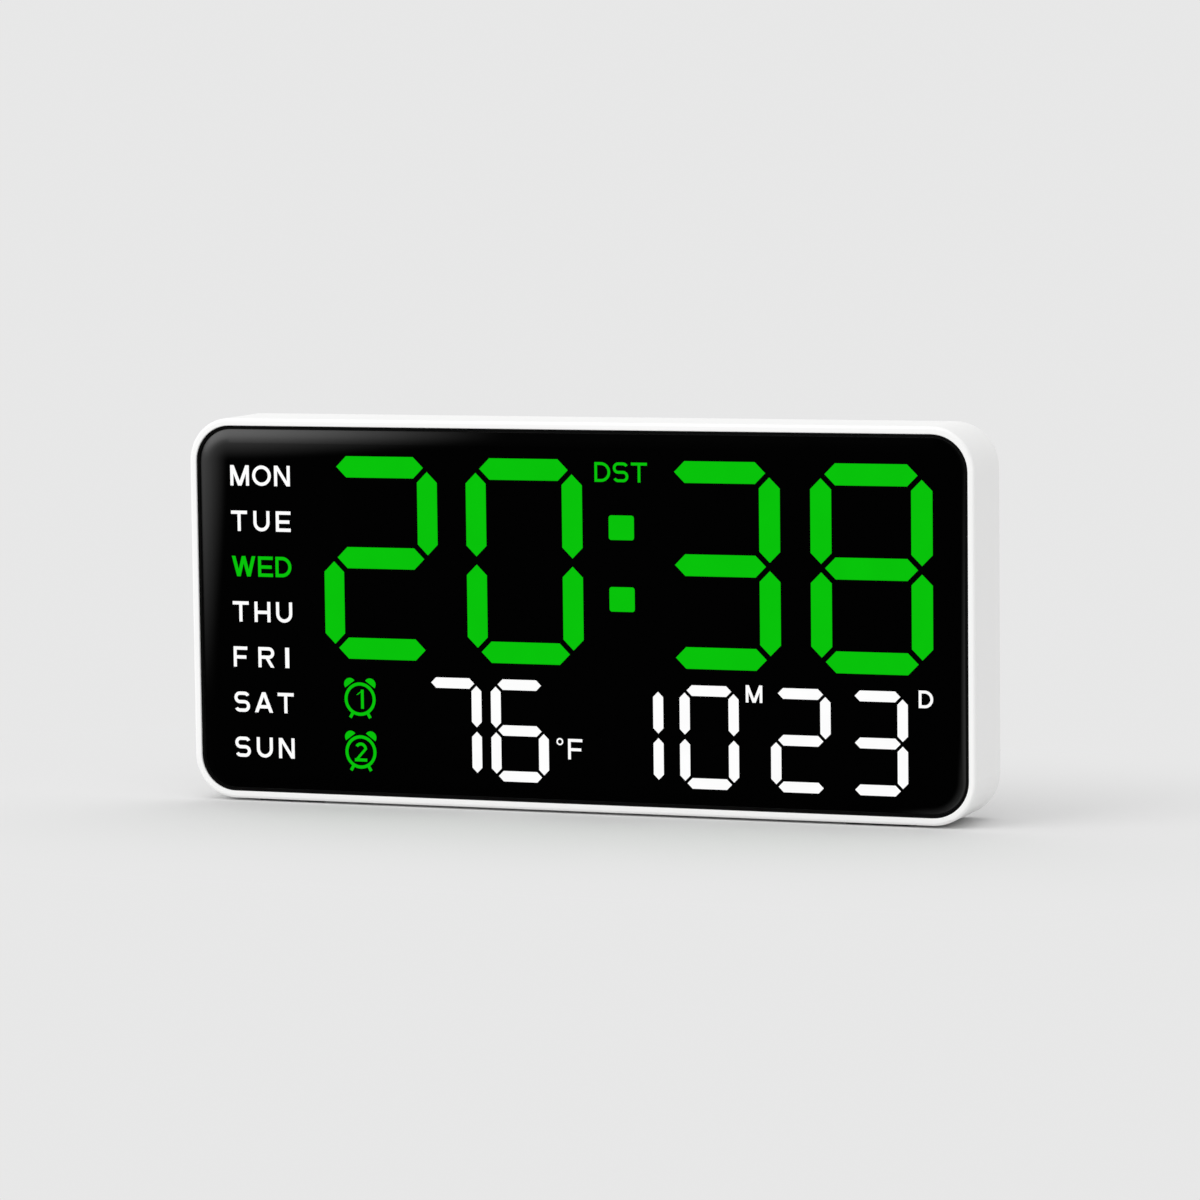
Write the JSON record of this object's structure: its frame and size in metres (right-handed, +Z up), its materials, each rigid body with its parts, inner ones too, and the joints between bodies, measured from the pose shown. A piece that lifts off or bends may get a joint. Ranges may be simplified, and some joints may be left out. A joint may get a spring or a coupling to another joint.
{
  "type": "digital wall clock",
  "caption": "Slim white digital clock with a glossy black face of lit time, date and temperature digits, rear keys, wall keyholes and fold-out legs.",
  "frame": {"origin": "bottom centre, on the surface that the foot pads stand on, midway in the depth", "axes": "+X to the right of someone facing the display, +Y from the display to the back, +Z up"},
  "size_m": [0.278, 0.029, 0.1308],
  "materials": {
    "case_white": "satin moulding",
    "cover_white": "fine spark texture",
    "panel_black": "polished",
    "guide_green": "polished, lit from behind",
    "guide_white": "polished, lit from behind",
    "guide_dark": "polished, tinted",
    "foot_rubber": "matt",
    "gasket_rubber": "matt",
    "tape_foam": "foam",
    "film_milky": "milky",
    "reflector_white": "matt",
    "board_green": "solder mask",
    "screw_steel": "zinc plated",
    "pin_steel": "ground",
    "cell_steel": "nickel plated",
    "led_package": "clear resin",
    "chip_black": "moulding compound",
    "connector_black": "matt",
    "key_grey": "fine satin"
  },
  "bodies": {
    "case": {"alarm_icons": "guide_green", "battery_clip": "cell_steel", "battery_holder": "connector_black", "buzzer": "chip_black", "case_screws": "screw_steel", "clock_crystal": "cell_steel", "coin_cell": "cell_steel", "colon_dots": "guide_green", "control_board": "board_green", "control_board_screws": "screw_steel", "date_segments": "guide_white", "diffuser_film": "film_milky", "display_board": "board_green", "display_board_screws": "screw_steel", "dst_legend": "guide_green", "foot_pads": "foot_rubber", "front_housing": "case_white", "front_panel": "panel_black", "green_leds": "led_package", "ir_receiver": "chip_black", "led_drivers": "chip_black", "light_box": "reflector_white", "light_sensor": "chip_black", "link_header": "connector_black", "link_socket": "connector_black", "microcontroller": "chip_black", "panel_gasket": "gasket_rubber", "panel_tape": "tape_foam", "rear_cover": "cover_white", "small_segments_unlit": "guide_dark", "stand_pin_left": "pin_steel", "stand_pin_right": "pin_steel", "tact_switches": "connector_black", "temperature_segments": "guide_white", "thermistor": "chip_black", "time_segments_lit": "guide_green", "time_segments_unlit": "guide_dark", "today_legend": "guide_green", "unit_legends": "guide_white", "usb_shell": "cell_steel", "usb_tongue": "connector_black", "weekday_legends": "guide_white", "white_leds": "led_package"},
    "set_key": {"set_key": "key_grey", "set_plunger": "key_grey"},
    "up_key": {"up_key": "key_grey", "up_plunger": "key_grey"},
    "down_key": {"down_key": "key_grey", "down_plunger": "key_grey"},
    "alarm_key": {"alarm_key": "key_grey", "alarm_plunger": "key_grey"},
    "light_key": {"light_key": "key_grey", "light_plunger": "key_grey"},
    "stand_leg_left": {"stand_leg_left": "cover_white"},
    "stand_leg_right": {"stand_leg_right": "cover_white"},
    "battery_door": {"battery_door": "cover_white", "battery_door_screws": "screw_steel"}
  },
  "joints": [
    {"name": "set_key_press", "type": "slide", "parent": "case", "child": "set_key", "axis": [0, -1, 0], "range_m": [0, 0.0009], "stiffness_N_per_m": 600},
    {"name": "up_key_press", "type": "slide", "parent": "case", "child": "up_key", "axis": [0, -1, 0], "range_m": [0, 0.0009], "stiffness_N_per_m": 600},
    {"name": "down_key_press", "type": "slide", "parent": "case", "child": "down_key", "axis": [0, -1, 0], "range_m": [0, 0.0009], "stiffness_N_per_m": 600},
    {"name": "alarm_key_press", "type": "slide", "parent": "case", "child": "alarm_key", "axis": [0, -1, 0], "range_m": [0, 0.0009], "stiffness_N_per_m": 600},
    {"name": "light_key_press", "type": "slide", "parent": "case", "child": "light_key", "axis": [0, -1, 0], "range_m": [0, 0.0009], "stiffness_N_per_m": 600},
    {"name": "stand_leg_left_fold", "type": "hinge", "parent": "case", "child": "stand_leg_left", "pos_m": [-0.1165, 0.0123, 0.0428], "axis": [0, 0, 1], "range_deg": [0, 90]},
    {"name": "stand_leg_right_fold", "type": "hinge", "parent": "case", "child": "stand_leg_right", "pos_m": [0.1165, 0.0123, 0.0428], "axis": [0, 0, -1], "range_deg": [0, 90]},
    {"name": "battery_door_lift", "type": "slide", "parent": "case", "child": "battery_door", "axis": [0, 1, 0], "range_m": [0, 0.03]}
  ]
}
